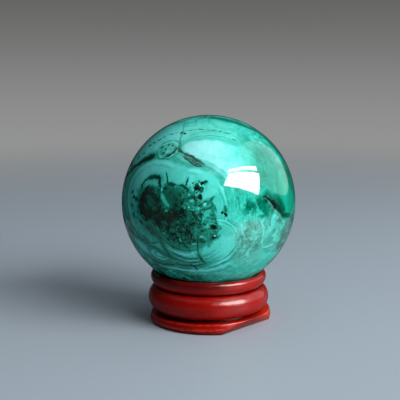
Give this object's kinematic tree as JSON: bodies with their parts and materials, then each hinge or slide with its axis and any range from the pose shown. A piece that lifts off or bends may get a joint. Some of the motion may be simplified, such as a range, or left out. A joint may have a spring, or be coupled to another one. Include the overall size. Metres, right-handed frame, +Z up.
{
  "type": "decorative sphere on a ring stand",
  "caption": "Polished banded malachite sphere that rests loose in the dished seat of a small turned, red-lacquered wooden ring stand.",
  "frame": {"origin": "on the stand's underside, below the middle of the sphere", "axes": "+Z up. The sphere's best face looks along -Y, with +X to the right of someone who looks at it"},
  "size_m": [0.05, 0.05, 0.0596],
  "materials": {
    "malachite": "polished, with light and dark green bands, eyes and dark mottled patches",
    "red_lacquered_wood": "glossy red lacquer over turned wood, darker in the grooves"
  },
  "bodies": {
    "root": {"malachite_sphere": "malachite", "wooden_stand": "red_lacquered_wood"}
  },
  "joints": []
}
